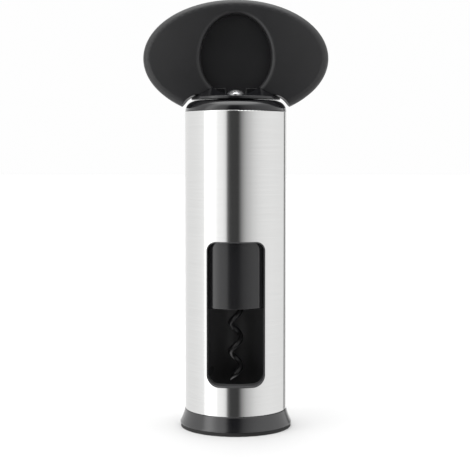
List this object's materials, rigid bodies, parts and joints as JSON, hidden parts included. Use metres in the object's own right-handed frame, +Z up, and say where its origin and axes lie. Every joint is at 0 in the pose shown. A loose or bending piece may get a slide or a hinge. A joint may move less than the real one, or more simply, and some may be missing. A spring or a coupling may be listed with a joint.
{
  "type": "self-pulling corkscrew",
  "caption": "Upright corkscrew: steel tube with a front window, flared base, floating sleeve round a helical worm, and an oval twist handle with a thumb recess.",
  "frame": {"origin": "centre of the base's resting face, on the tube's axis", "axes": "+Z up the tube's axis, the window faces -Y, the handle's long axis lies along X"},
  "size_m": [0.0812, 0.0496, 0.1887],
  "materials": {
    "steel_tube": "brushed round the tube",
    "inner_liner": "glossy black moulding",
    "cork_chamber": "satin black moulding",
    "mouth_seat": "soft black rubber",
    "base_ring": "satin black moulding",
    "foot_ring": "black rubber",
    "top_collar": "glossy black moulding",
    "guide_bush": "natural acetal",
    "collar_screws": "zinc plated",
    "base_screws": "zinc plated",
    "thrust_washer": "natural acetal",
    "handle_shell_front": "soft-touch black",
    "handle_shell_back": "soft-touch black",
    "handle_core": "satin to gloss black",
    "handle_hub": "satin black moulding",
    "hub_pin": "ground",
    "spindle": "ground",
    "dome_nut": "polished",
    "retaining_clip": "spring steel",
    "worm_pin": "ground",
    "worm": "dark non-stick coating",
    "worm_sleeve": "satin black moulding",
    "sleeve_end_ring": "satin black moulding",
    "sleeve_glide_ring": "natural acetal"
  },
  "bodies": {
    "frame": {"steel_tube": "steel_tube", "inner_liner": "inner_liner", "cork_chamber": "cork_chamber", "mouth_seat": "mouth_seat", "base_ring": "base_ring", "foot_ring": "foot_ring", "top_collar": "top_collar", "guide_bush": "guide_bush", "collar_screws": "collar_screws", "base_screws": "base_screws"},
    "lift_washer": {"thrust_washer": "thrust_washer"},
    "handle": {"handle_shell_front": "handle_shell_front", "handle_shell_back": "handle_shell_back", "handle_core": "handle_core", "handle_hub": "handle_hub", "hub_pin": "hub_pin", "spindle": "spindle", "dome_nut": "dome_nut", "retaining_clip": "retaining_clip", "worm_pin": "worm_pin", "worm": "worm"},
    "sleeve": {"worm_sleeve": "worm_sleeve", "sleeve_end_ring": "sleeve_end_ring", "sleeve_glide_ring": "sleeve_glide_ring"}
  },
  "joints": [
    {"name": "handle_lift", "type": "slide", "parent": "frame", "child": "lift_washer", "axis": [0, 0, 1], "range_m": [0, 0.045]},
    {"name": "handle_turn", "type": "hinge", "parent": "lift_washer", "child": "handle", "pos_m": [0, 0, 0.141], "axis": [0, 0, -1], "continuous": true},
    {"name": "sleeve_slide", "type": "slide", "parent": "frame", "child": "sleeve", "axis": [0, 0, 1], "range_m": [0, 0.04]}
  ]
}
